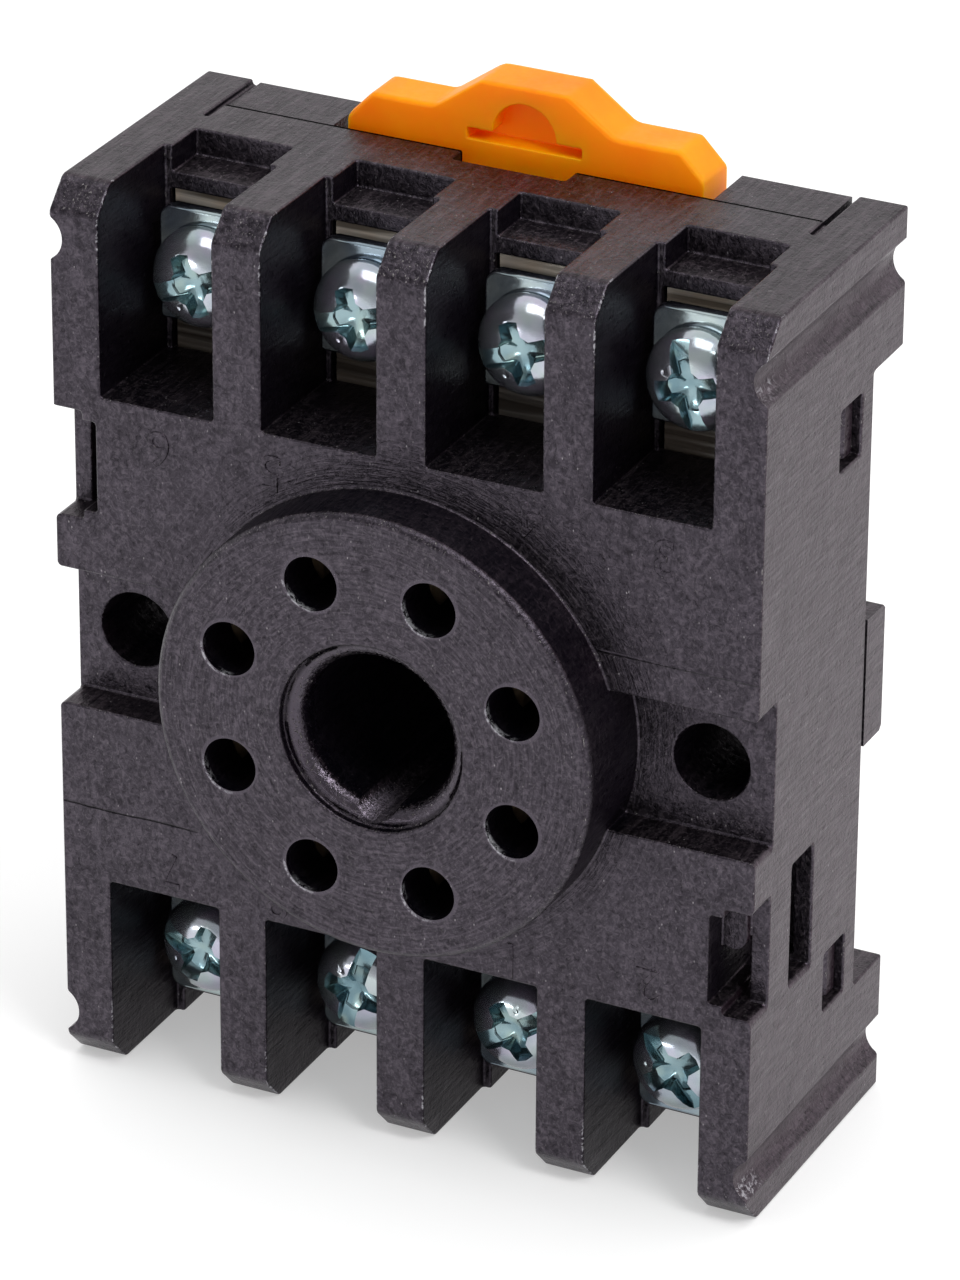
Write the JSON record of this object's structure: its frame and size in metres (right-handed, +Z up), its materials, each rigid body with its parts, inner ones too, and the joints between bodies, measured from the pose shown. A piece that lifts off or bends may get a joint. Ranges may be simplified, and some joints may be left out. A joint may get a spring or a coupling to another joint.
{
  "type": "relay socket",
  "caption": "Octal plug-in relay socket with screw terminals in two rows and a sprung slider that locks it on a rail.",
  "frame": {"origin": "middle of the base at the foot of the lower barrier walls, under the centre of the socket's depth", "axes": "+Z up along the height, +X to the right seen from the plug side, -Y out of the plug face"},
  "size_m": [0.04, 0.0206, 0.0547],
  "materials": {
    "black_moulding": "matte, finely grained moulding",
    "orange_moulding": "smooth, slightly translucent moulding",
    "brass_strip": "pale stamped strip",
    "zinc_plated_steel": "bright bluish zinc plating",
    "spring_steel": "drawn wire"
  },
  "bodies": {
    "socket": {"housing": "black_moulding", "rear_cover": "black_moulding", "slider_spring": "spring_steel", "terminal_bar_1": "brass_strip", "terminal_bar_2": "brass_strip", "terminal_bar_3": "brass_strip", "terminal_bar_4": "brass_strip", "terminal_bar_5": "brass_strip", "terminal_bar_6": "brass_strip", "terminal_bar_7": "brass_strip", "terminal_bar_8": "brass_strip", "pin_contact_1": "brass_strip", "pin_contact_2": "brass_strip", "pin_contact_3": "brass_strip", "pin_contact_4": "brass_strip", "pin_contact_5": "brass_strip", "pin_contact_6": "brass_strip", "pin_contact_7": "brass_strip", "pin_contact_8": "brass_strip"},
    "slider": {"din_slider": "orange_moulding"},
    "clamp_1": {"pressure_plate_1": "zinc_plated_steel"},
    "screw_1": {"terminal_screw_1": "zinc_plated_steel"},
    "clamp_2": {"pressure_plate_2": "zinc_plated_steel"},
    "screw_2": {"terminal_screw_2": "zinc_plated_steel"},
    "clamp_3": {"pressure_plate_3": "zinc_plated_steel"},
    "screw_3": {"terminal_screw_3": "zinc_plated_steel"},
    "clamp_4": {"pressure_plate_4": "zinc_plated_steel"},
    "screw_4": {"terminal_screw_4": "zinc_plated_steel"},
    "clamp_5": {"pressure_plate_5": "zinc_plated_steel"},
    "screw_5": {"terminal_screw_5": "zinc_plated_steel"},
    "clamp_6": {"pressure_plate_6": "zinc_plated_steel"},
    "screw_6": {"terminal_screw_6": "zinc_plated_steel"},
    "clamp_7": {"pressure_plate_7": "zinc_plated_steel"},
    "screw_7": {"terminal_screw_7": "zinc_plated_steel"},
    "clamp_8": {"pressure_plate_8": "zinc_plated_steel"},
    "screw_8": {"terminal_screw_8": "zinc_plated_steel"}
  },
  "joints": [
    {"name": "slider_slide", "type": "slide", "parent": "socket", "child": "slider", "axis": [0, 0, 1], "range_m": [0, 0.002], "stiffness_N_per_m": 400, "deforming": ["slider_spring"]},
    {"name": "plate_1_lift", "type": "slide", "parent": "socket", "child": "clamp_1", "axis": [0, -1, 0], "range_m": [-0.00115, 0.0015]},
    {"name": "screw_1_turn", "type": "hinge", "parent": "clamp_1", "child": "screw_1", "pos_m": [-0.01395, 0.0013, 0.045], "axis": [0, -1, 0], "range_deg": [-830, 1085]},
    {"name": "plate_2_lift", "type": "slide", "parent": "socket", "child": "clamp_2", "axis": [0, -1, 0], "range_m": [-0.00115, 0.0015]},
    {"name": "screw_2_turn", "type": "hinge", "parent": "clamp_2", "child": "screw_2", "pos_m": [-0.00465, 0.0013, 0.045], "axis": [0, -1, 0], "range_deg": [-830, 1085]},
    {"name": "plate_3_lift", "type": "slide", "parent": "socket", "child": "clamp_3", "axis": [0, -1, 0], "range_m": [-0.00115, 0.0015]},
    {"name": "screw_3_turn", "type": "hinge", "parent": "clamp_3", "child": "screw_3", "pos_m": [0.00465, 0.0013, 0.045], "axis": [0, -1, 0], "range_deg": [-830, 1085]},
    {"name": "plate_4_lift", "type": "slide", "parent": "socket", "child": "clamp_4", "axis": [0, -1, 0], "range_m": [-0.00115, 0.0015]},
    {"name": "screw_4_turn", "type": "hinge", "parent": "clamp_4", "child": "screw_4", "pos_m": [0.01395, 0.0013, 0.045], "axis": [0, -1, 0], "range_deg": [-830, 1085]},
    {"name": "plate_5_lift", "type": "slide", "parent": "socket", "child": "clamp_5", "axis": [0, -1, 0], "range_m": [-0.00115, 0.0015]},
    {"name": "screw_5_turn", "type": "hinge", "parent": "clamp_5", "child": "screw_5", "pos_m": [-0.01395, 0.0013, 0.006], "axis": [0, -1, 0], "range_deg": [-830, 1085]},
    {"name": "plate_6_lift", "type": "slide", "parent": "socket", "child": "clamp_6", "axis": [0, -1, 0], "range_m": [-0.00115, 0.0015]},
    {"name": "screw_6_turn", "type": "hinge", "parent": "clamp_6", "child": "screw_6", "pos_m": [-0.00465, 0.0013, 0.006], "axis": [0, -1, 0], "range_deg": [-830, 1085]},
    {"name": "plate_7_lift", "type": "slide", "parent": "socket", "child": "clamp_7", "axis": [0, -1, 0], "range_m": [-0.00115, 0.0015]},
    {"name": "screw_7_turn", "type": "hinge", "parent": "clamp_7", "child": "screw_7", "pos_m": [0.00465, 0.0013, 0.006], "axis": [0, -1, 0], "range_deg": [-830, 1085]},
    {"name": "plate_8_lift", "type": "slide", "parent": "socket", "child": "clamp_8", "axis": [0, -1, 0], "range_m": [-0.00115, 0.0015]},
    {"name": "screw_8_turn", "type": "hinge", "parent": "clamp_8", "child": "screw_8", "pos_m": [0.01395, 0.0013, 0.006], "axis": [0, -1, 0], "range_deg": [-830, 1085]}
  ],
  "couplings": [
    {"joint": "screw_1_turn", "follows": "plate_1_lift", "rad_per_m": 12566},
    {"joint": "screw_2_turn", "follows": "plate_2_lift", "rad_per_m": 12566},
    {"joint": "screw_3_turn", "follows": "plate_3_lift", "rad_per_m": 12566},
    {"joint": "screw_4_turn", "follows": "plate_4_lift", "rad_per_m": 12566},
    {"joint": "screw_5_turn", "follows": "plate_5_lift", "rad_per_m": 12566},
    {"joint": "screw_6_turn", "follows": "plate_6_lift", "rad_per_m": 12566},
    {"joint": "screw_7_turn", "follows": "plate_7_lift", "rad_per_m": 12566},
    {"joint": "screw_8_turn", "follows": "plate_8_lift", "rad_per_m": 12566}
  ]
}
